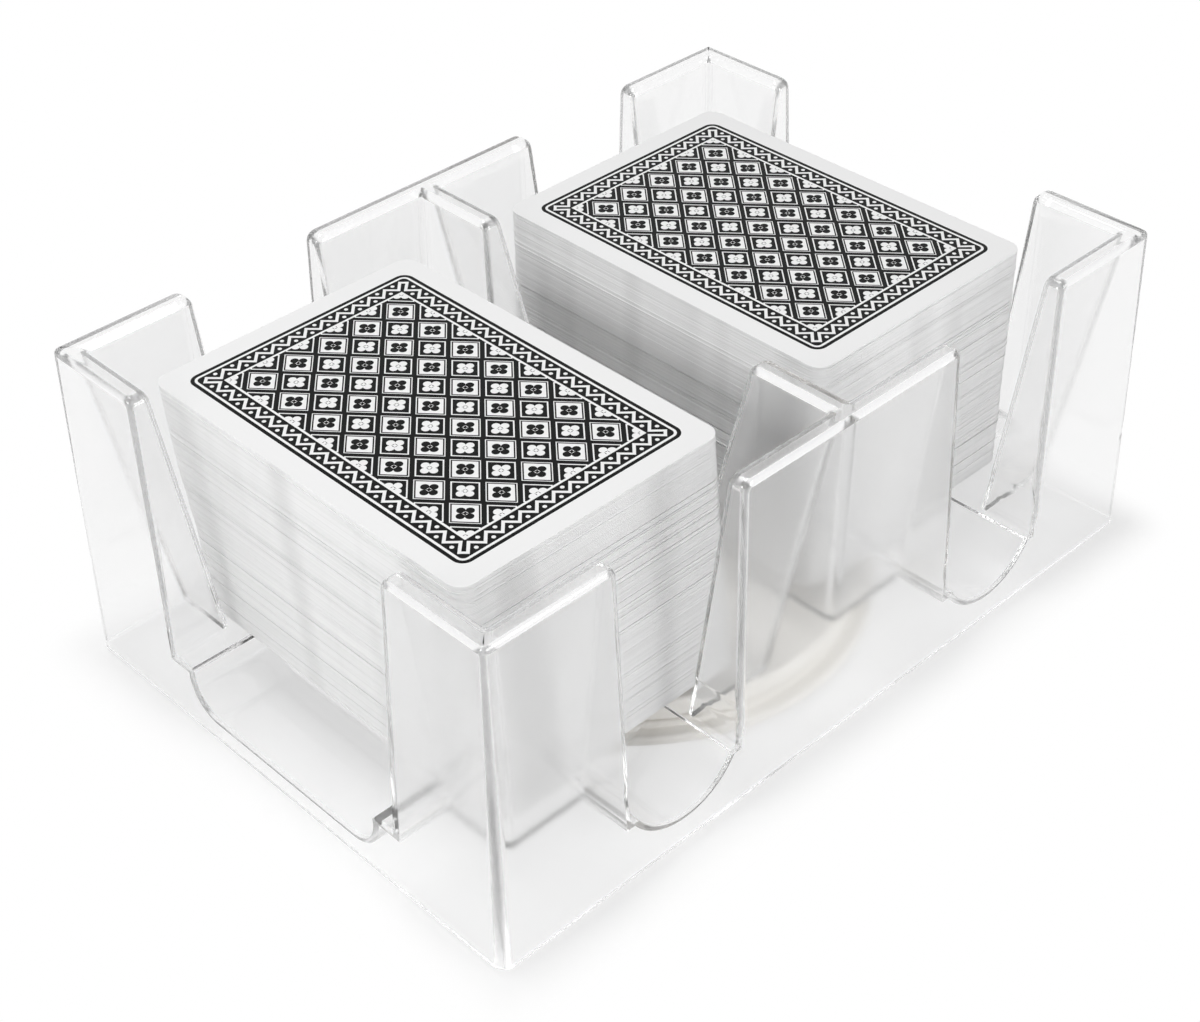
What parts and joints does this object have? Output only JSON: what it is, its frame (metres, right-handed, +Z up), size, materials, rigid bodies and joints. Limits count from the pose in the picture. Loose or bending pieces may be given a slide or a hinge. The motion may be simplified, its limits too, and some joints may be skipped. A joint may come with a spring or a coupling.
{
  "type": "rotating playing card tray",
  "caption": "Clear moulded playing card tray with open wells, divider fins and finger notches, holding stacks of cards and turning freely on a round white ball-bearing base.",
  "frame": {"origin": "on the table, under the turntable's axis", "axes": "+X along the tray's long side, +Y along its short side, +Z up along the turntable's axis"},
  "size_m": [0.1842, 0.127, 0.0755],
  "materials": {
    "clear_plastic": "clear moulded polystyrene, polished",
    "white_plastic": "white moulded ABS, satin",
    "natural_nylon": "natural nylon, satin",
    "ball_steel": "ground bearing steel",
    "zinc_steel": "zinc-plated steel",
    "grey_rubber": "soft moulded rubber",
    "card_stock": "white coated card",
    "printed_card": "white coated card with a black printed back"
  },
  "bodies": {
    "base": {"turntable_base": "white_plastic", "rubber_feet": "grey_rubber", "pivot_screw": "zinc_steel", "pivot_washer": "zinc_steel"},
    "tray": {"tray_shell": "clear_plastic", "turntable_plate": "white_plastic", "plate_screws": "zinc_steel"},
    "ball_ring": {"ball_cage": "natural_nylon", "bearing_balls": "ball_steel"},
    "left_stack": {"left_deck_lower": "card_stock", "left_deck_middle": "card_stock", "left_deck_upper": "card_stock"},
    "right_stack": {"right_deck_lower": "card_stock", "right_deck_middle": "card_stock", "right_deck_upper": "card_stock"},
    "left_card": {"left_top_card": "printed_card"},
    "right_card": {"right_top_card": "printed_card"}
  },
  "joints": [
    {"name": "tray_spin", "type": "hinge", "parent": "base", "child": "tray", "pos_m": [0, 0, 0.0062], "axis": [0, 0, 1], "continuous": true},
    {"name": "ball_ring_spin", "type": "hinge", "parent": "base", "child": "ball_ring", "pos_m": [0, 0, 0.0062], "axis": [0, 0, 1], "continuous": true},
    {"name": "left_lift", "type": "slide", "parent": "tray", "child": "left_stack", "axis": [0, 0, 1], "range_m": [0, 0.07]},
    {"name": "right_lift", "type": "slide", "parent": "tray", "child": "right_stack", "axis": [0, 0, 1], "range_m": [0, 0.07]},
    {"name": "left_draw", "type": "slide", "parent": "left_stack", "child": "left_card", "axis": [0, 0, 1], "range_m": [0, 0.03]},
    {"name": "right_draw", "type": "slide", "parent": "right_stack", "child": "right_card", "axis": [0, 0, 1], "range_m": [0, 0.03]}
  ],
  "couplings": [
    {"joint": "ball_ring_spin", "follows": "tray_spin", "ratio": 0.5}
  ]
}
